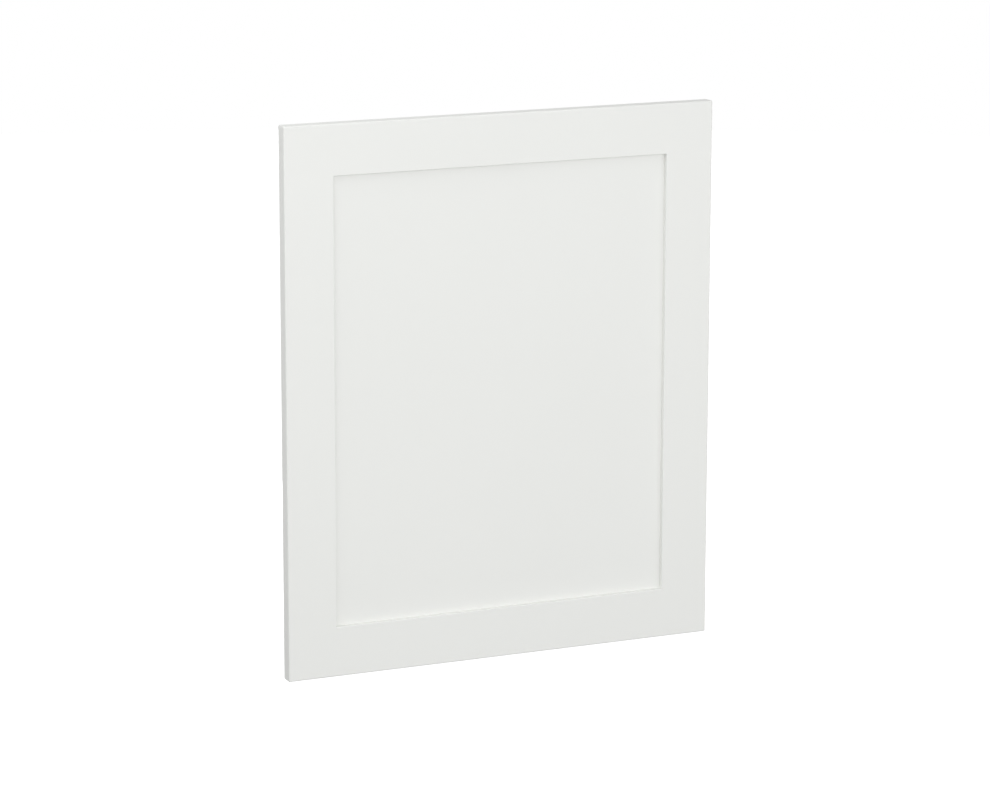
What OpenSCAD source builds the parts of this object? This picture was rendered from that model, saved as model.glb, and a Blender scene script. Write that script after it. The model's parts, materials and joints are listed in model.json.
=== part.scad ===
// Shaker kitchen cabinet door, painted, with a flat recessed centre panel.
// Two upright stiles and two rails are grooved along their inner edges. The
// rails carry stub tongues that fill the stiles' grooves, each corner is held
// by two fluted dowels, and the panel floats in the groove all round.
// The left stile is bored from behind for two concealed hinges.
// Millimetres. The origin is the middle of the door. +Z is up, +X is to the
// right as seen from the front, and the front faces -Y.

/* [Door] */
// Width of the door, across both stiles
door_w = 596; // [396:1:796]
// Height of the door
door_h = 716; // [446:1:996]
// Thickness of the stiles and rails
door_t = 19; // [18:0.5:24]
// Rounding of the outer edges, front and back
edge_r = 2; // [1:0.5:4]
// Rounding of the four corners as seen from the front
corner_r = 1.5; // [0.5:0.5:4]

/* [Frame] */
// Width of the two upright stiles
stile_w = 66; // [58:1:100]
// Width of the top and bottom rails
rail_w = 66; // [58:1:120]
// Easing of the sharp edges round the panel opening
inner_r = 0.8; // [0.4:0.1:1.6]

/* [Panel] */
// Thickness of the flat centre panel
panel_t = 6; // [5:0.5:8]
// Depth of the panel's face behind the front of the frame
panel_setback = 6.5; // [5:0.5:7.5]
// Clearance between the panel and each side of its groove
panel_fit = 0.1; // [0.05:0.05:0.3]
// Gap between the panel's edges and the bottom of the groove
panel_edge_gap = 1; // [0.5:0.5:3]

/* [Grooves and tongues] */
// Depth of the groove in the stiles and rails
groove_d = 10; // [7:0.5:13]
// Clearance between a rail's tongue and each side of the groove
tongue_fit = 0.05; // [0.05:0.05:0.2]
// Gap between a tongue's end and the bottom of the groove
tongue_end_gap = 0.2; // [0.1:0.1:1]

/* [Dowels] */
// Diameter of a dowel
dowel_d = 8; // [6:1:10]
// Length of a dowel
dowel_l = 50; // [40:5:60]
// Distance between the two dowels of a corner
dowel_pitch = 28; // [18:1:34]
// Clearance between a dowel and the side of its bore
dowel_fit = 0.05; // [0.05:0.05:0.2]
// Glue space beyond each end of a dowel
dowel_end_gap = 1; // [0.5:0.5:3]
// Chamfer on the ends of a dowel
dowel_chamfer = 1; // [0.5:0.1:1.5]
// Number of flutes round a dowel
flute_count = 16; // [8:1:20]
// Radius of the cutter that leaves a flute
flute_r = 0.6; // [0.4:0.1:0.8]
// Depth of a flute
flute_depth = 0.3; // [0.2:0.05:0.4]

/* [Hinge boring] */
// Diameter of a hinge cup's bore
cup_d = 35; // [26:1:40]
// Depth of a hinge cup's bore
cup_depth = 12.5; // [11:0.5:14]
// Distance from the door's edge to the rim of a cup
cup_rim = 5; // [3:0.5:7]
// Distance from the door's end to the middle of a cup
cup_end = 100; // [90:1:160]
// Diameter of the dimple that the boring bit's point leaves
dimple_d = 3; // [2:0.5:5]
// Depth of that dimple below the cup's floor
dimple_depth = 1; // [0.5:0.5:2]
// Diameter of the two fixing holes beside a cup
fixing_d = 8; // [6:1:10]
// Depth of the fixing holes
fixing_depth = 12; // [9:0.5:14]
// Distance between the two fixing holes of a cup
fixing_pitch = 45; // [42:1:52]
// Distance from the middle of a cup to the line of its fixing holes
fixing_offset = 9.5; // [5:0.5:11]

/* [Hidden] */

$fn = 64;

PAINT = "#ebece9";
BEECH = "#d9b88c";

// How far a cut runs past the surface it opens through
over = 1;

// The opening that the frame leaves, and half of it each way
opening_w = door_w - 2 * stile_w;
opening_h = door_h - 2 * rail_w;
inner_x = opening_w / 2;
inner_z = opening_h / 2;

// The groove, its middle plane and what runs in it
groove_t = panel_t + 2 * panel_fit;
groove_y = -door_t / 2 + panel_setback + panel_t / 2;
tongue_t = groove_t - 2 * tongue_fit;
tongue_l = groove_d - tongue_end_gap;
panel_w = opening_w + 2 * (groove_d - panel_edge_gap);
panel_h = opening_h + 2 * (groove_d - panel_edge_gap);

// A corner's dowels lie either side of the middle of its tongue
tongue_mid_z = (inner_z + groove_d + door_h / 2) / 2;
dowel_bore_d = dowel_d + 2 * dowel_fit;
dowel_bore_l = dowel_l + 2 * dowel_end_gap;

// The hinge cups' middles, and the line of their fixing holes
cup_x = -door_w / 2 + cup_rim + cup_d / 2;
cup_z = door_h / 2 - cup_end;
fixing_x = cup_x + fixing_offset;

// A rectangle with round corners, centred
module rounded_rectangle(w, h, r) {
    square([w - 2 * r, h], center = true);
    square([w, h - 2 * r], center = true);
    for (x = [-1, 1], y = [-1, 1])
        translate([x * (w / 2 - r), y * (h / 2 - r)])
            circle(r);
}

// The outer form of the whole door, with its edges rounded
module door_blank() {
    intersection() {
        linear_extrude(door_h, center = true)
            rounded_rectangle(door_w, door_t, edge_r);
        rotate([90, 0, 90])
            linear_extrude(door_w, center = true)
                rounded_rectangle(door_t, door_h, edge_r);
        rotate([90, 0, 0])
            linear_extrude(door_t, center = true)
                rounded_rectangle(door_w, door_h, corner_r);
    }
}

// The section of a slot through the door's thickness, flared at both faces
// by the round easing of the wood on either side of it
module flared_slot(span) {
    square([span, door_t + 2 * over], center = true);
    for (x = [-1, 1], y = [-1, 1])
        difference() {
            translate([x * span / 2, y * door_t / 2])
                square(2 * inner_r, center = true);
            translate([x * (span / 2 + inner_r), y * (door_t / 2 - inner_r)])
                circle(inner_r);
        }
}

// What the frame leaves open, with its easing mitred at the corners
module frame_opening() {
    intersection() {
        linear_extrude(door_h, center = true)
            flared_slot(opening_w);
        rotate([90, 0, 90])
            linear_extrude(door_w, center = true)
                rotate(90)
                    flared_slot(opening_h);
    }
}

// The bores for the two dowels of each corner at one end of the door
module dowel_bores(end) {
    for (side = [-1, 1], row = [-1, 1])
        translate([side * inner_x, groove_y, end * tongue_mid_z + row * dowel_pitch / 2])
            rotate([0, 90, 0])
                cylinder(d = dowel_bore_d, h = dowel_bore_l, center = true);
}

// An upright, grooved along its inner edge, on the left (-1) or right (1)
module stile(side) {
    difference() {
        intersection() {
            door_blank();
            translate([side * (inner_x + (stile_w + over) / 2), 0, 0])
                cube([stile_w + over, door_t + over, door_h + over], center = true);
        }
        frame_opening();
        translate([side * (inner_x + (groove_d - over) / 2), groove_y, 0])
            cube([groove_d + over, groove_t, door_h + 2 * over], center = true);
        for (end = [-1, 1])
            dowel_bores(end);
    }
}

// A crosspiece with a tongue at each end, at the bottom (-1) or top (1)
module rail(end) {
    difference() {
        union() {
            intersection() {
                door_blank();
                translate([0, 0, end * (inner_z + (rail_w + over) / 2)])
                    cube([opening_w, door_t + over, rail_w + over], center = true);
            }
            translate([0, groove_y, end * (inner_z + rail_w / 2)])
                cube([opening_w + 2 * tongue_l, tongue_t, rail_w], center = true);
        }
        frame_opening();
        translate([0, groove_y, end * (inner_z + (groove_d - over) / 2)])
            cube([door_w, groove_t, groove_d + over], center = true);
        dowel_bores(end);
    }
}

// The two cup bores and their fixing holes, cut from the back
module hinge_boring() {
    for (end = [-1, 1]) {
        translate([cup_x, door_t / 2 - cup_depth, end * cup_z])
            rotate([-90, 0, 0]) {
                cylinder(d = cup_d, h = cup_depth + over);
                translate([0, 0, -dimple_depth])
                    cylinder(d1 = 0, d2 = dimple_d, h = dimple_depth);
            }
        for (row = [-1, 1])
            translate([fixing_x, door_t / 2 - fixing_depth, end * cup_z + row * fixing_pitch / 2])
                rotate([-90, 0, 0])
                    cylinder(d = fixing_d, h = fixing_depth + over);
    }
}

module left_stile() {
    color(PAINT)
        difference() {
            stile(-1);
            hinge_boring();
        }
}

module right_stile() {
    color(PAINT)
        stile(1);
}

module top_rail() {
    color(PAINT)
        rail(1);
}

module bottom_rail() {
    color(PAINT)
        rail(-1);
}

// A flat sheet that reaches into the groove on all four sides
module centre_panel() {
    color(PAINT)
        translate([0, groove_y, 0])
            cube([panel_w, panel_t, panel_h], center = true);
}

// The section of a fluted dowel
module fluted_section() {
    difference() {
        circle(d = dowel_d);
        for (i = [0 : flute_count - 1])
            rotate(i * 360 / flute_count)
                translate([dowel_d / 2 + flute_r - flute_depth, 0])
                    circle(flute_r);
    }
}

// A rod with chamfered ends, wider than the dowel between its chamfers
module chamfered_rod() {
    narrow = dowel_d / 2 - dowel_chamfer;
    wide = dowel_d / 2 + over;
    rise = wide - narrow;
    rotate_extrude()
        polygon([
            [0, -dowel_l / 2],
            [narrow, -dowel_l / 2],
            [wide, -dowel_l / 2 + rise],
            [wide, dowel_l / 2 - rise],
            [narrow, dowel_l / 2],
            [0, dowel_l / 2]
        ]);
}

// A dowel across the shoulder line of one corner, in the outer (1) or inner (-1) row
module corner_dowel(end, side, row) {
    color(BEECH)
        translate([side * inner_x, groove_y, end * (tongue_mid_z + row * dowel_pitch / 2)])
            rotate([0, 90, 0])
                intersection() {
                    linear_extrude(dowel_l, center = true)
                        fluted_section();
                    chamfered_rod();
                }
}

module dowel_top_left_outer() corner_dowel(1, -1, 1);
module dowel_top_left_inner() corner_dowel(1, -1, -1);
module dowel_top_right_outer() corner_dowel(1, 1, 1);
module dowel_top_right_inner() corner_dowel(1, 1, -1);
module dowel_bottom_left_outer() corner_dowel(-1, -1, 1);
module dowel_bottom_left_inner() corner_dowel(-1, -1, -1);
module dowel_bottom_right_outer() corner_dowel(-1, 1, 1);
module dowel_bottom_right_inner() corner_dowel(-1, 1, -1);

left_stile();
right_stile();
top_rail();
bottom_rail();
centre_panel();
dowel_top_left_outer();
dowel_top_left_inner();
dowel_top_right_outer();
dowel_top_right_inner();
dowel_bottom_left_outer();
dowel_bottom_left_inner();
dowel_bottom_right_outer();
dowel_bottom_right_inner();
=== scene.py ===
import json
import math

import bmesh
import bpy
from mathutils import Matrix, Quaternion, Vector


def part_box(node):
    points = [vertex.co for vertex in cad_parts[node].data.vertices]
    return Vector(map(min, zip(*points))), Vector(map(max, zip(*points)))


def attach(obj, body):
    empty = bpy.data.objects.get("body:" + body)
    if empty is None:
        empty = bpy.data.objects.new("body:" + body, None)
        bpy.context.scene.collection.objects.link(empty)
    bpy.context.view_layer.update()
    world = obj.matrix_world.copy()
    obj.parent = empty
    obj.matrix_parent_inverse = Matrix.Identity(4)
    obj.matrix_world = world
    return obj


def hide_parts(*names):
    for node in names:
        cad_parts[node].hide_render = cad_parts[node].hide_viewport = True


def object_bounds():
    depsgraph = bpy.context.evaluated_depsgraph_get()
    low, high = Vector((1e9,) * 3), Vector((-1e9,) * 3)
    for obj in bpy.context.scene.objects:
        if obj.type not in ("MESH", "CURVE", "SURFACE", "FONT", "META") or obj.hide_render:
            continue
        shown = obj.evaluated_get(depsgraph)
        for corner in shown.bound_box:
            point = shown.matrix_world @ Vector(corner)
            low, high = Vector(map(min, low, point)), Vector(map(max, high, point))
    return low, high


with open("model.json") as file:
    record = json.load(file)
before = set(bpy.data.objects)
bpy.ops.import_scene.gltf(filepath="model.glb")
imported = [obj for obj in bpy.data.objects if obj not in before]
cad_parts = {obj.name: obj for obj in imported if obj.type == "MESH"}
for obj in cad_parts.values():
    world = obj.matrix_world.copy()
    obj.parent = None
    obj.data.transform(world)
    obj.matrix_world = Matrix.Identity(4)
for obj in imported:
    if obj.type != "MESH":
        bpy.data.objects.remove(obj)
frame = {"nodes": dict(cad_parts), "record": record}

# A painted shaker kitchen cabinet door, dressed for a product picture. The frame members get
# finely rounded meshes in place of their CAD solids, the panel keeps its own, and geometry nodes
# make the fluted dowels inside the corners. Metres throughout; the door faces -Y and +Z is up.

MM = 0.001

# Where the construction says things are
cad_lo, cad_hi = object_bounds()
half_w, half_t, half_h = cad_hi
inner_x = -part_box("left_stile")[1].x
inner_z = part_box("top_rail")[0].z
tongue_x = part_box("top_rail")[1].x
panel_lo, panel_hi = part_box("centre_panel")
mounts = frame["record"]["mounts"]
dowel_boxes = {node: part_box(node) for node in frame["nodes"] if node.startswith("dowel_")}

# Sizes that the frame doesn't state
EDGE_R = 2 * MM
CORNER_R = 1.5 * MM
INNER_R = 0.8 * MM
PANEL_FIT = 0.1 * MM
TONGUE_FIT = 0.05 * MM
GROOVE_D = 10 * MM
DOWEL_D = 8 * MM
DOWEL_FIT = 0.05 * MM
DOWEL_END_GAP = 1 * MM
DOWEL_CHAMFER = 1 * MM
FLUTES = 16
FLUTE_R = 0.6 * MM
FLUTE_DEPTH = 0.3 * MM
DIMPLE_R = 1.5 * MM
DIMPLE_DEPTH = 1 * MM
FIXING_DEPTH = 12 * MM

# How far a cutter reaches past the faces that it opens
CUT_PAST = 1 * MM
# Places along an axis that differ by less than NEAR count as the same, and points within HAIR as one
NEAR = 0.01 * MM
HAIR = 0.001 * MM

# How finely a rounded edge, a whole circle and a flute are drawn, and from what angle an edge is sharp
ROUND_SEGMENTS = 8
CIRCLE_SEGMENTS = 96
POINTS_PER_FLUTE = 12
SHARP_ANGLE = math.radians(35)


# Nodes and colours

def linear(hex_colour):
    """An sRGB hex colour as the linear RGBA that the shaders take."""
    channels = [int(hex_colour[i:i + 2], 16) / 255 for i in (1, 3, 5)]
    return [c / 12.92 if c <= 0.04045 else ((c + 0.055) / 1.055) ** 2.4 for c in channels] + [1]


def add(tree, kind, links=None, **settings):
    """Adds a node with its settings. links gives each input a value or another node's socket."""
    node = tree.nodes.new(kind)
    for name, value in settings.items():
        setattr(node, name, value)
    for name, value in (links or {}).items():
        if isinstance(value, bpy.types.NodeSocket):
            tree.links.new(value, node.inputs[name])
        else:
            node.inputs[name].default_value = value
    return node


def new_material(name):
    """An empty material and its node tree."""
    material = bpy.data.materials.new(name)
    material.use_nodes = True
    material.node_tree.nodes.clear()
    return material, material.node_tree


# Materials

def satin_paint():
    """Satin polyurethane, sprayed on sanded fibreboard: an even off-white with a soft sheen.

    The coat drifts a little in tone over a hand's span, its skin has the faint peel of a sprayed
    film, and the machined edges drink more paint, so they are a touch duller and finely fibrous.
    """
    material, tree = new_material("satin_polyurethane_paint")
    place = add(tree, "ShaderNodeTexCoord").outputs["Object"]
    drift = add(tree, "ShaderNodeTexNoise", {"Vector": place, "Scale": 1 / (220 * MM)})
    colour = add(tree, "ShaderNodeMix", {
        "Factor": drift.outputs["Fac"], "A": linear("#edeeeb"), "B": linear("#eff0ed"),
    }, data_type="RGBA")

    # A face that looks along Y is a sanded broad side, any other is a machined edge
    facing = add(tree, "ShaderNodeNewGeometry").outputs["Normal"]
    along_y = add(tree, "ShaderNodeSeparateXYZ", {"Vector": facing}).outputs["Y"]
    broad = add(tree, "ShaderNodeMath", {0: along_y}, operation="ABSOLUTE").outputs["Value"]
    edge = add(tree, "ShaderNodeMapRange", {
        "Value": broad, "From Min": 0.9, "From Max": 0.3,
    }).outputs["Result"]

    # The peel of a real coat is about 1.5 mm across; it is drawn 2.2 mm wide so that it can show
    peel = add(tree, "ShaderNodeTexNoise", {"Vector": place, "Scale": 1 / (2.2 * MM), "Detail": 1})
    skin = add(tree, "ShaderNodeBump", {
        "Height": peel.outputs["Fac"], "Strength": 0.1, "Distance": 0.05 * MM,
    })
    # Fibres stand up in the paint of a machined edge, about 0.5 mm apart
    fibres = add(tree, "ShaderNodeTexNoise", {"Vector": place, "Scale": 1 / (0.5 * MM), "Detail": 3})
    raised = add(tree, "ShaderNodeMath", {0: fibres.outputs["Fac"], 1: edge}, operation="MULTIPLY")
    surface = add(tree, "ShaderNodeBump", {
        "Height": raised.outputs["Value"], "Strength": 0.25, "Distance": 0.05 * MM,
        "Normal": skin.outputs["Normal"],
    })

    # The sheen wanders over a finger's length, and an edge is duller by a fixed step
    sheen = add(tree, "ShaderNodeTexNoise", {"Vector": place, "Scale": 1 / (90 * MM)})
    broad_gloss = add(tree, "ShaderNodeMapRange", {
        "Value": sheen.outputs["Fac"], "To Min": 0.36, "To Max": 0.44,
    })
    gloss = add(tree, "ShaderNodeMath", {
        0: edge, 1: 0.12, 2: broad_gloss.outputs["Result"],
    }, operation="MULTIPLY_ADD")
    shader = add(tree, "ShaderNodeBsdfPrincipled", {
        "Base Color": colour.outputs["Result"], "Roughness": gloss.outputs["Value"], "IOR": 1.5,
        "Normal": surface.outputs["Normal"],
    })
    add(tree, "ShaderNodeOutputMaterial", {"Surface": shader.outputs["BSDF"]})
    return material


def routed_fibreboard():
    """Medium density fibreboard bared by a bit: dull buff brown, fuzzy and specked with darker fibres."""
    material, tree = new_material("routed_fibreboard")
    place = add(tree, "ShaderNodeTexCoord").outputs["Object"]
    blotches = add(tree, "ShaderNodeTexNoise", {"Vector": place, "Scale": 1 / (3 * MM)}).outputs["Fac"]
    ground = add(tree, "ShaderNodeMix", {
        "Factor": blotches, "A": linear("#b08a5e"), "B": linear("#c19d72"),
    }, data_type="RGBA")
    # Single fibres and bundles of them are about 0.35 mm across
    specks = add(tree, "ShaderNodeTexNoise", {
        "Vector": place, "Scale": 1 / (0.35 * MM), "Detail": 4,
    }).outputs["Fac"]
    dark = add(tree, "ShaderNodeMapRange", {"Value": specks, "From Min": 0.52, "From Max": 0.66})
    colour = add(tree, "ShaderNodeMix", {
        "Factor": dark.outputs["Result"], "A": ground.outputs["Result"], "B": linear("#94704a"),
    }, data_type="RGBA")
    fuzz = add(tree, "ShaderNodeBump", {"Height": specks, "Strength": 0.5, "Distance": 0.1 * MM})
    roughness = add(tree, "ShaderNodeMapRange", {"Value": blotches, "To Min": 0.82, "To Max": 0.95})
    shader = add(tree, "ShaderNodeBsdfPrincipled", {
        "Base Color": colour.outputs["Result"], "Roughness": roughness.outputs["Result"], "IOR": 1.47,
        "Normal": fuzz.outputs["Normal"],
    })
    add(tree, "ShaderNodeOutputMaterial", {"Surface": shader.outputs["BSDF"]})
    return material


def turned_beech():
    """Beech turned to a rod and left bare: pinkish straw with fine grain along it and short dark flecks."""
    material, tree = new_material("turned_beech")
    place = add(tree, "ShaderNodeTexCoord").outputs["Object"]
    # The rods lie along X, and their grain runs 20 times as far that way as across
    along = add(tree, "ShaderNodeMapping", {"Vector": place, "Scale": (0.05, 1, 1)}).outputs["Vector"]
    grain = add(tree, "ShaderNodeTexNoise", {
        "Vector": along, "Scale": 1 / (0.8 * MM), "Detail": 3,
    }).outputs["Fac"]
    ground = add(tree, "ShaderNodeMix", {
        "Factor": grain, "A": linear("#cda578"), "B": linear("#e2c59c"),
    }, data_type="RGBA")
    # The rays show as flecks 0.3 mm wide
    rays = add(tree, "ShaderNodeTexNoise", {"Vector": along, "Scale": 1 / (0.3 * MM), "Detail": 1})
    fleck = add(tree, "ShaderNodeMapRange", {"Value": rays.outputs["Fac"], "From Min": 0.6, "From Max": 0.7})
    colour = add(tree, "ShaderNodeMix", {
        "Factor": fleck.outputs["Result"], "A": ground.outputs["Result"], "B": linear("#a87d52"),
    }, data_type="RGBA")
    pores = add(tree, "ShaderNodeBump", {"Height": grain, "Strength": 0.4, "Distance": 0.08 * MM})
    roughness = add(tree, "ShaderNodeMapRange", {"Value": grain, "To Min": 0.6, "To Max": 0.75})
    shader = add(tree, "ShaderNodeBsdfPrincipled", {
        "Base Color": colour.outputs["Result"], "Roughness": roughness.outputs["Result"], "IOR": 1.5,
        "Normal": pores.outputs["Normal"],
    })
    add(tree, "ShaderNodeOutputMaterial", {"Surface": shader.outputs["BSDF"]})
    return material


PAINT = satin_paint()
FIBREBOARD = routed_fibreboard()
BEECH = turned_beech()


# Making meshes

def object_of(name, bm, material):
    """A linked object that holds a bmesh's faces, all of one material."""
    mesh = bpy.data.meshes.new(name)
    bmesh.ops.recalc_face_normals(bm, faces=bm.faces)
    bm.to_mesh(mesh)
    bm.free()
    mesh.materials.append(material)
    obj = bpy.data.objects.new(name, mesh)
    bpy.context.scene.collection.objects.link(obj)
    return obj


def block(name, lo, hi, material):
    """A solid box between two corners."""
    bm = bmesh.new()
    size = Vector(hi) - Vector(lo)
    centre = (Vector(hi) + Vector(lo)) / 2
    bmesh.ops.create_cube(bm, size=1, matrix=Matrix.Translation(centre) @ Matrix.Diagonal((*size, 1)))
    return object_of(name, bm, material)


def turned(name, origin, axis, profile, material):
    """A closed solid turned about an axis. profile lists (radius, distance along the axis)."""
    bm = bmesh.new()
    turn = Vector((0, 0, 1)).rotation_difference(Vector(axis))
    rings = []
    for radius, along in profile:
        spokes = CIRCLE_SEGMENTS if radius else 1
        angles = [2 * math.pi * i / spokes for i in range(spokes)]
        points = [Vector((radius * math.cos(a), radius * math.sin(a), along)) for a in angles]
        rings.append([bm.verts.new(Vector(origin) + turn @ point) for point in points])
    for lower, upper in zip(rings, rings[1:]):
        for i in range(CIRCLE_SEGMENTS):
            j = i + 1
            corners = [lower[i % len(lower)], lower[j % len(lower)]]
            corners += [upper[j % len(upper)], upper[i % len(upper)]]
            # A ring of one point gives the same corner twice, which leaves a triangle
            bm.faces.new(list(dict.fromkeys(corners)))
    return object_of(name, bm, material)


def opening_void(name, material):
    """What the frame leaves open: a square prism flared by the rounded arrises at both faces."""
    arc = [math.pi / 2 * i / ROUND_SEGMENTS for i in range(ROUND_SEGMENTS + 1)]
    mouth = [(half_t + CUT_PAST, INNER_R)]
    mouth += [(half_t - INNER_R * (1 - math.cos(a)), INNER_R * (1 - math.sin(a))) for a in arc]
    levels = [(-depth, flare) for depth, flare in mouth]
    levels += [(depth, flare) for depth, flare in reversed(mouth)]
    bm = bmesh.new()
    rings = []
    for y, flare in levels:
        x, z = inner_x + flare, inner_z + flare
        rings.append([bm.verts.new((sx * x, y, sz * z)) for sx, sz in ((-1, -1), (1, -1), (1, 1), (-1, 1))])
    for near, far in zip(rings, rings[1:]):
        for i in range(4):
            j = (i + 1) % 4
            bm.faces.new((near[i], near[j], far[j], far[i]))
    bm.faces.new(rings[0])
    bm.faces.new(rings[-1])
    return object_of(name, bm, material)


def round_edges(obj, radius_of):
    """Rounds each edge of a block by the radius that radius_of gives for its two ends."""
    weights = obj.data.attributes.new("bevel_weight_edge", "FLOAT", "EDGE")
    for edge in obj.data.edges:
        ends = [obj.data.vertices[i].co for i in edge.vertices]
        weights.data[edge.index].value = radius_of(*ends) / EDGE_R
    bevel = obj.modifiers.new("rounding", "BEVEL")
    bevel.limit_method = "WEIGHT"
    bevel.width = EDGE_R
    bevel.segments = ROUND_SEGMENTS


def combine(obj, other, operation):
    """Cuts other from obj, or joins it on; the new faces keep the other's material."""
    boolean = obj.modifiers.new(other.name, "BOOLEAN")
    boolean.operation = operation
    boolean.object = other
    boolean.solver = "EXACT"
    boolean.material_mode = "TRANSFER"


def settle(obj, name):
    """Turns an object with live modifiers into a plain mesh with flat broad faces and smooth roundings."""
    graph = bpy.context.evaluated_depsgraph_get()
    plain = bpy.data.objects.new(name, bpy.data.meshes.new_from_object(obj.evaluated_get(graph)))
    bpy.context.scene.collection.objects.link(plain)
    bpy.data.objects.remove(obj)
    # The cuts leave a few pairs of points a hair apart
    bm = bmesh.new()
    bm.from_mesh(plain.data)
    bmesh.ops.remove_doubles(bm, verts=bm.verts, dist=HAIR)
    bm.to_mesh(plain.data)
    bm.free()
    for polygon in plain.data.polygons:
        polygon.use_smooth = True
    plain.data.set_sharp_from_angle(angle=SHARP_ANGLE)
    weighting = plain.modifiers.new("weighting", "WEIGHTED_NORMAL")
    weighting.keep_sharp = True
    graph = bpy.context.evaluated_depsgraph_get()
    weighted = bpy.data.meshes.new_from_object(plain.evaluated_get(graph))
    plain.modifiers.clear()
    plain.data = weighted
    plain.data.name = name
    return plain


# The frame members

def groove_cutter(lo, hi):
    """The cutter for a groove from lo to hi in X and Z, as thick as the panel with play either side."""
    low_y = panel_lo.y - PANEL_FIT
    high_y = panel_hi.y + PANEL_FIT
    return block("groove", (lo[0], low_y, lo[1]), (hi[0], high_y, hi[1]), FIBREBOARD)


def dowel_bores(keep):
    """A cutter for each dowel bore whose middle passes the test keep."""
    radius = DOWEL_D / 2 + DOWEL_FIT
    cutters = []
    for node, (lo, hi) in dowel_boxes.items():
        middle = (lo + hi) / 2
        reach = (hi.x - lo.x) / 2 + DOWEL_END_GAP
        profile = [(0, -reach), (radius, -reach), (radius, reach), (0, reach)]
        if keep(middle):
            cutters.append(turned("bore_" + node, middle, (1, 0, 0), profile, FIBREBOARD))
    return cutters


def cup_bore(mount):
    """The cutter for a hinge cup's bore, with the dimple that the bit's point leaves in its floor."""
    radius = mount["dims"]["r_mm"] * MM
    floor = -mount["dims"]["length_mm"] * MM
    profile = [
        (0, floor - DIMPLE_DEPTH), (DIMPLE_R, floor), (radius, floor), (radius, CUT_PAST), (0, CUT_PAST),
    ]
    return [turned(mount["name"], mount["pos_m"], mount["axis"], profile, FIBREBOARD)]


def fixing_bores(mount):
    """The cutters for the two holes, one above the other, that take a hinge cup's fixings."""
    radius = mount["dims"]["hole_r_mm"] * MM
    apart = mount["dims"]["spacing_y_mm"] * MM
    profile = [(0, -FIXING_DEPTH), (radius, -FIXING_DEPTH), (radius, CUT_PAST), (0, CUT_PAST)]
    cutters = []
    for height in (-apart / 2, apart / 2):
        middle = Vector(mount["pos_m"]) + Vector((0, 0, height))
        cutters.append(turned(mount["name"], middle, mount["axis"], profile, FIBREBOARD))
    return cutters


def hinge_boring():
    """The cutters for everything that is bored for the hinges."""
    boring = {"bore": cup_bore, "bolt_pattern": fixing_bores}
    cutters = []
    for mount in mounts:
        if mount["kind"] in boring:
            cutters += boring[mount["kind"]](mount)
    return cutters


def finish_member(blank, tongues, cutters, node):
    """Joins the tongues on, makes the cuts, hangs the result on the root and hides the node's own solid."""
    for tongue in tongues:
        combine(blank, tongue, "UNION")
    for cutter in cutters:
        combine(blank, cutter, "DIFFERENCE")
    piece = settle(blank, "painted_" + node)
    for tool in tongues + cutters:
        bpy.data.objects.remove(tool)
    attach(piece, "root")
    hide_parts(node)


def make_stile(side, node, extra_cutters):
    """An upright on the left (-1) or right (1), rounded outside and square at its inner edge."""
    left, right = sorted((side * half_w, side * inner_x))
    blank = block("blank", (left, -half_t, -half_h), (right, half_t, half_h), PAINT)
    midline = (half_w + inner_x) / 2

    def radius_of(a, b):
        across = abs(a.x - b.x) > NEAR
        if across:
            return EDGE_R
        beside_opening = abs(a.x) < midline
        if beside_opening:
            return 0
        through_board = abs(a.y - b.y) > NEAR
        return CORNER_R if through_board else EDGE_R

    round_edges(blank, radius_of)
    low, high = sorted((side * (inner_x - CUT_PAST), side * (inner_x + GROOVE_D)))
    reach = half_h + CUT_PAST
    cutters = [
        opening_void("opening", PAINT),
        groove_cutter((low, -reach), (high, reach)),
        *dowel_bores(lambda middle: middle.x * side > 0),
        *extra_cutters,
    ]
    finish_member(blank, [], cutters, node)


def make_rail(end, node):
    """A crosspiece at the bottom (-1) or top (1), grooved for the panel and tongued for the stiles."""
    low, high = sorted((end * half_h, end * inner_z))
    blank = block("blank", (-inner_x, -half_t, low), (inner_x, half_t, high), PAINT)
    midline = (half_h + inner_z) / 2

    def radius_of(a, b):
        outside = min(abs(a.z), abs(b.z)) > midline
        along = abs(a.x - b.x) > NEAR
        return EDGE_R if outside and along else 0

    round_edges(blank, radius_of)
    front = panel_lo.y - PANEL_FIT + TONGUE_FIT
    back = panel_hi.y + PANEL_FIT - TONGUE_FIT
    tongues = []
    for side in (-1, 1):
        left, right = sorted((side * tongue_x, side * (inner_x - CUT_PAST)))
        tongues.append(block("tongue", (left, front, low), (right, back, high), PAINT))
    groove_low, groove_high = sorted((end * (inner_z - CUT_PAST), end * (inner_z + GROOVE_D)))
    reach = tongue_x + CUT_PAST
    cutters = [
        opening_void("opening", PAINT),
        groove_cutter((-reach, groove_low), (reach, groove_high)),
        *dowel_bores(lambda middle: middle.z * end > 0),
    ]
    finish_member(blank, tongues, cutters, node)


# The dowels

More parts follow.
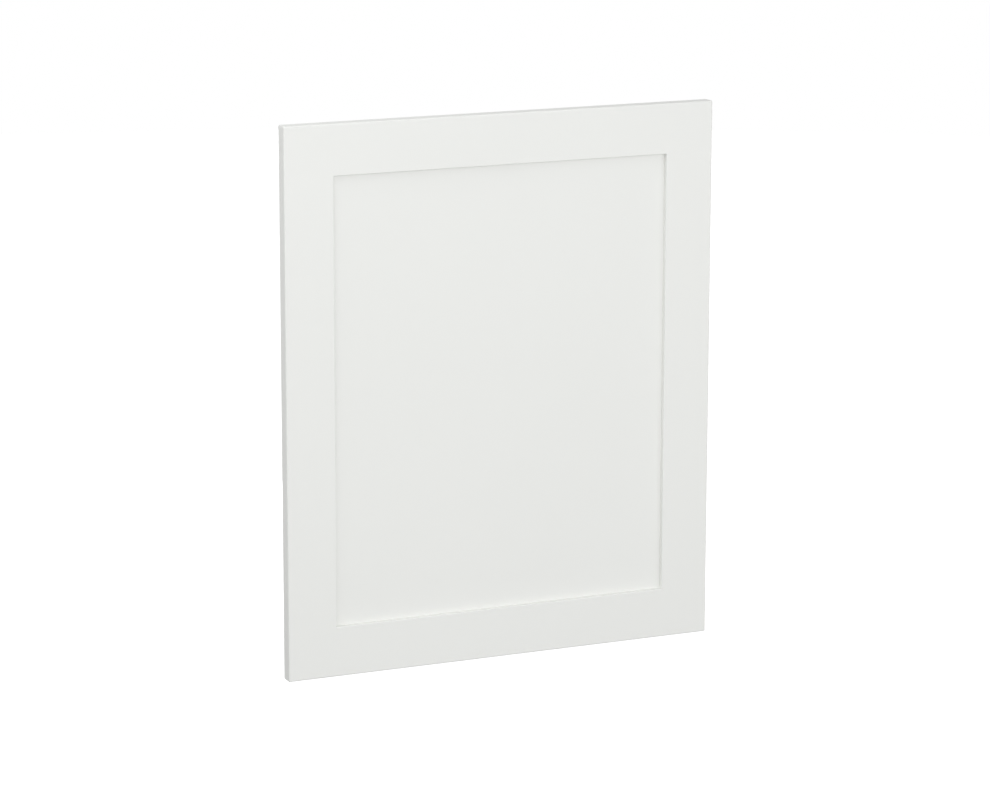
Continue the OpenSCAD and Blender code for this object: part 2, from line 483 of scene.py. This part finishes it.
def dowel_tree():
    """Geometry nodes that lay a fluted and chamfered dowel along X at every vertex of a mesh."""
    tree = bpy.data.node_groups.new("fluted_dowels", "GeometryNodeTree")
    tree.interface.new_socket("Middles", in_out="INPUT", socket_type="NodeSocketGeometry")
    for size in ("Diameter", "Length", "Chamfer", "Flute Radius", "Flute Depth"):
        tree.interface.new_socket(size, in_out="INPUT", socket_type="NodeSocketFloat")
    tree.interface.new_socket("Flutes", in_out="INPUT", socket_type="NodeSocketInt")
    tree.interface.new_socket("Wood", in_out="INPUT", socket_type="NodeSocketMaterial")
    tree.interface.new_socket("Dowels", in_out="OUTPUT", socket_type="NodeSocketGeometry")
    given = add(tree, "NodeGroupInput").outputs

    # A plain rod with four rings of points, which the rest of the tree moves into place
    around = add(tree, "ShaderNodeMath", {0: given["Flutes"], 1: POINTS_PER_FLUTE}, operation="MULTIPLY")
    rod = add(tree, "GeometryNodeMeshCylinder", {
        "Vertices": around.outputs[0], "Side Segments": 3, "Radius": 1, "Depth": given["Length"],
    }, fill_type="NGON")
    spot = add(tree, "GeometryNodeInputPosition").outputs["Position"]
    old = add(tree, "ShaderNodeSeparateXYZ", {"Vector": spot}).outputs
    angle = add(tree, "ShaderNodeMath", {0: old["Y"], 1: old["X"]}, operation="ARCTAN2").outputs[0]

    # How far from the axis a point lies: on the rod's round, or on the wall of the nearest flute
    radius = add(tree, "ShaderNodeMath", {0: given["Diameter"], 1: 0.5}, operation="MULTIPLY").outputs[0]
    beyond = add(tree, "ShaderNodeMath", {
        0: given["Flute Radius"], 1: given["Flute Depth"],
    }, operation="SUBTRACT")
    flute_middle = add(tree, "ShaderNodeMath", {0: radius, 1: beyond.outputs[0]}, operation="ADD").outputs[0]
    half_pitch = add(tree, "ShaderNodeMath", {0: math.pi, 1: given["Flutes"]}, operation="DIVIDE")
    off = add(tree, "ShaderNodeMath", {0: angle, 1: half_pitch.outputs[0]}, operation="PINGPONG").outputs[0]
    cosine = add(tree, "ShaderNodeMath", {0: off}, operation="COSINE").outputs[0]
    sine = add(tree, "ShaderNodeMath", {0: off}, operation="SINE").outputs[0]
    outward = add(tree, "ShaderNodeMath", {0: flute_middle, 1: cosine}, operation="MULTIPLY").outputs[0]
    sideways = add(tree, "ShaderNodeMath", {0: flute_middle, 1: sine}, operation="MULTIPLY").outputs[0]
    sideways_sq = add(tree, "ShaderNodeMath", {0: sideways, 1: sideways}, operation="MULTIPLY").outputs[0]
    flute_sq = add(tree, "ShaderNodeMath", {0: given["Flute Radius"], 1: 2}, operation="POWER").outputs[0]
    left_sq = add(tree, "ShaderNodeMath", {0: flute_sq, 1: sideways_sq}, operation="SUBTRACT").outputs[0]
    inside_sq = add(tree, "ShaderNodeMath", {0: left_sq, 1: 0}, operation="MAXIMUM").outputs[0]
    bite = add(tree, "ShaderNodeMath", {0: inside_sq}, operation="SQRT").outputs[0]
    wall = add(tree, "ShaderNodeMath", {0: outward, 1: bite}, operation="SUBTRACT").outputs[0]
    side_radius = add(tree, "ShaderNodeMath", {0: wall, 1: radius}, operation="MINIMUM").outputs[0]

    # The two end rings are the small ends of the chamfers, and the others lie where these run out
    end_radius = add(tree, "ShaderNodeMath", {
        0: radius, 1: given["Chamfer"],
    }, operation="SUBTRACT").outputs[0]
    height = add(tree, "ShaderNodeMath", {0: old["Z"]}, operation="ABSOLUTE").outputs[0]
    third = add(tree, "ShaderNodeMath", {0: given["Length"], 1: 3}, operation="DIVIDE").outputs[0]
    at_end = add(tree, "ShaderNodeMath", {0: height, 1: third}, operation="GREATER_THAN").outputs[0]
    ring_radius = add(tree, "GeometryNodeSwitch", {
        "Switch": at_end, "False": side_radius, "True": end_radius,
    }, input_type="FLOAT").outputs["Output"]
    back_off = add(tree, "ShaderNodeMath", {0: ring_radius, 1: end_radius}, operation="SUBTRACT").outputs[0]
    half_length = add(tree, "ShaderNodeMath", {0: given["Length"], 1: 0.5}, operation="MULTIPLY").outputs[0]
    reach = add(tree, "ShaderNodeMath", {0: half_length, 1: back_off}, operation="SUBTRACT").outputs[0]
    way = add(tree, "ShaderNodeMath", {0: old["Z"]}, operation="SIGN").outputs[0]
    new_z = add(tree, "ShaderNodeMath", {0: way, 1: reach}, operation="MULTIPLY").outputs[0]
    flat = add(tree, "ShaderNodeCombineXYZ", {"X": old["X"], "Y": old["Y"]}).outputs["Vector"]
    spread = add(tree, "ShaderNodeVectorMath", {"Vector": flat, "Scale": ring_radius}, operation="SCALE")
    lift = add(tree, "ShaderNodeCombineXYZ", {"Z": new_z}).outputs["Vector"]
    new_spot = add(tree, "ShaderNodeVectorMath", {0: spread.outputs[0], 1: lift}, operation="ADD").outputs[0]
    dowel = add(tree, "GeometryNodeSetPosition", {"Geometry": rod.outputs["Mesh"], "Position": new_spot})

    laid = add(tree, "GeometryNodeInstanceOnPoints", {
        "Points": given["Middles"], "Instance": dowel.outputs["Geometry"], "Rotation": (0, math.pi / 2, 0),
    })
    whole = add(tree, "GeometryNodeRealizeInstances", {"Geometry": laid.outputs["Instances"]})
    wooden = add(tree, "GeometryNodeSetMaterial", {
        "Geometry": whole.outputs["Geometry"], "Material": given["Wood"],
    })
    add(tree, "NodeGroupOutput", {"Dowels": wooden.outputs["Geometry"]})
    return tree


def make_dowels():
    """All eight dowels as one piece, each where its node lies."""
    bm = bmesh.new()
    for lo, hi in dowel_boxes.values():
        bm.verts.new((lo + hi) / 2)
    middles = object_of("middles", bm, BEECH)
    nodes = middles.modifiers.new("fluted_dowels", "NODES")
    nodes.node_group = dowel_tree()
    lo, hi = next(iter(dowel_boxes.values()))
    sizes = {
        "Diameter": DOWEL_D, "Length": hi.x - lo.x, "Chamfer": DOWEL_CHAMFER, "Flutes": FLUTES,
        "Flute Radius": FLUTE_R, "Flute Depth": FLUTE_DEPTH, "Wood": BEECH,
    }
    for item in nodes.node_group.interface.items_tree:
        if item.name in sizes:
            nodes[item.identifier] = sizes[item.name]
    piece = settle(middles, "fluted_dowels")
    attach(piece, "root")
    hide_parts(*dowel_boxes)


make_stile(-1, "left_stile", hinge_boring())
make_stile(1, "right_stile", [])
make_rail(1, "top_rail")
make_rail(-1, "bottom_rail")
make_dowels()

panel = frame["nodes"]["centre_panel"]
panel.data.materials.clear()
panel.data.materials.append(PAINT)


# The stage, the light and the camera

# The floor's height below the door and its radius
FLOOR_DROP = 0.62
FLOOR_SPREAD = 9.0
# The white that the floor adds for the eye alone under the door, and from where to where, going out
# from the middle, it grows to pure white
FLOOR_LIFT = 0.85
FADE_FROM = 1.8
FADE_TO = 3.6
# The strength of the even fill that lights every surface from all round
FILL = 0.436

# Each lamp: where it hangs, what it faces, how wide it is and its power in watts
LAMPS = {
    "key_softbox": ((-0.46, -3.25, 0.88), (0, 0, 0), 2.0, 23.2),
    "wide_left_softbox": ((-2.44, -2.2, 0.88), (0, 0, 0), 2.4, 14.5),
    "low_softbox": ((0.88, -3.28, 0), (0, 0, 0), 2.4, 18.2),
    "right_softbox": ((2.37, -2.37, 0.59), (0, 0, 0), 2.4, 15.2),
    "high_left_softbox": ((-1.34, -0.77, 1.84), (0, 0, 0), 1.4, 9.8),
    "left_softbox": ((-1.3, 0.1, 1.5), (-0.3, 0, 0.3), 0.8, 4.7),
    "back_softbox": ((0, 3.4, 0), (0, 0, 0), 2.2, 38),
}
# Lamps that light the door but don't mirror in the sheen of its edges
UNMIRRORED = {"back_softbox"}

# The camera stands left of the door and above it, and looks at a point near its middle
CAMERA_AZIMUTH = math.radians(-23.94)
CAMERA_ELEVATION = math.radians(12.54)
CAMERA_ROLL = math.radians(0.10)
CAMERA_DISTANCE = 4.82
CAMERA_AIM = Vector((-0.0110, -half_t, -0.0199))
CAMERA_SIGHT = 100
CAMERA_LENS_MM = 136.0
SENSOR_MM = 36.0


def shown_ground(tree):
    """A factor that is 1 where a ray shows the ground to the eye, in a reflection or through glass."""
    path = add(tree, "ShaderNodeLightPath").outputs
    seen = add(tree, "ShaderNodeMath", {
        0: path["Is Camera Ray"], 1: path["Is Glossy Ray"],
    }, operation="MAXIMUM").outputs[0]
    return add(tree, "ShaderNodeMath", {
        0: seen, 1: path["Is Transmission Ray"],
    }, operation="MAXIMUM").outputs[0]


def matt_floor():
    """Matt floor paint, hardly clouded, that fades into the white ground for the eye."""
    material, tree = new_material("matt_studio_floor")
    place = add(tree, "ShaderNodeTexCoord").outputs["Object"]
    cloud = add(tree, "ShaderNodeTexNoise", {"Vector": place, "Scale": 1 / (500 * MM)}).outputs["Fac"]
    colour = add(tree, "ShaderNodeMix", {
        "Factor": cloud, "A": linear("#b0b0b0"), "B": linear("#b4b4b4"),
    }, data_type="RGBA")
    matt = add(tree, "ShaderNodeBsdfDiffuse", {"Color": colour.outputs["Result"]})
    away = add(tree, "ShaderNodeVectorMath", {0: place}, operation="LENGTH").outputs["Value"]
    lift = add(tree, "ShaderNodeMapRange", {
        "Value": away, "From Min": FADE_FROM, "From Max": FADE_TO, "To Min": FLOOR_LIFT,
    }).outputs["Result"]
    strength = add(tree, "ShaderNodeMath", {0: shown_ground(tree), 1: lift}, operation="MULTIPLY").outputs[0]
    glow = add(tree, "ShaderNodeEmission", {"Strength": strength})
    both = add(tree, "ShaderNodeAddShader", {0: matt.outputs["BSDF"], 1: glow.outputs["Emission"]})
    add(tree, "ShaderNodeOutputMaterial", {"Surface": both.outputs["Shader"]})
    return material


def stage_floor():
    """A round floor that the door hangs above."""
    bm = bmesh.new()
    height = Matrix.Translation((0, 0, cad_lo.z - FLOOR_DROP))
    bmesh.ops.create_circle(
        bm, cap_ends=True, segments=CIRCLE_SEGMENTS, radius=FLOOR_SPREAD, matrix=height)
    object_of("floor", bm, matt_floor())


def stage_world():
    """White to the eye and in reflections, and a weak even fill for everything else."""
    world = bpy.data.worlds.new("studio")
    bpy.context.scene.world = world
    world.use_nodes = True
    tree = world.node_tree
    tree.nodes.clear()
    strength = add(tree, "ShaderNodeMapRange", {
        "Value": shown_ground(tree), "To Min": FILL,
    }).outputs["Result"]
    ground = add(tree, "ShaderNodeBackground", {"Color": linear("#ffffff"), "Strength": strength})
    add(tree, "ShaderNodeOutputWorld", {"Surface": ground.outputs["Background"]})


def stage_lamps():
    """Square softboxes that the camera doesn't see."""
    for name, (place, target, size, power) in LAMPS.items():
        data = bpy.data.lights.new(name, "AREA")
        data.shape = "SQUARE"
        data.size = size
        data.energy = power
        lamp = bpy.data.objects.new(name, data)
        lamp.location = place
        lamp.rotation_mode = "QUATERNION"
        lamp.rotation_quaternion = (Vector(target) - Vector(place)).to_track_quat("-Z", "Y")
        lamp.visible_camera = False
        lamp.visible_glossy = name not in UNMIRRORED
        bpy.context.scene.collection.objects.link(lamp)


def stage_camera():
    """A long lens at the picture's viewing angle, unshifted."""
    data = bpy.data.cameras.new("camera")
    data.lens = CAMERA_LENS_MM
    data.sensor_width = SENSOR_MM
    data.clip_end = CAMERA_SIGHT
    camera = bpy.data.objects.new("camera", data)
    back = Vector((
        math.sin(CAMERA_AZIMUTH) * math.cos(CAMERA_ELEVATION),
        -math.cos(CAMERA_AZIMUTH) * math.cos(CAMERA_ELEVATION),
        math.sin(CAMERA_ELEVATION),
    ))
    camera.location = CAMERA_AIM + back * CAMERA_DISTANCE
    camera.rotation_mode = "QUATERNION"
    camera.rotation_quaternion = (-back).to_track_quat("-Z", "Y") @ Quaternion((0, 0, 1), CAMERA_ROLL)
    bpy.context.scene.collection.objects.link(camera)
    bpy.context.scene.camera = camera


stage_floor()
stage_world()
stage_lamps()
stage_camera()
bpy.context.scene.view_settings.view_transform = "Standard"
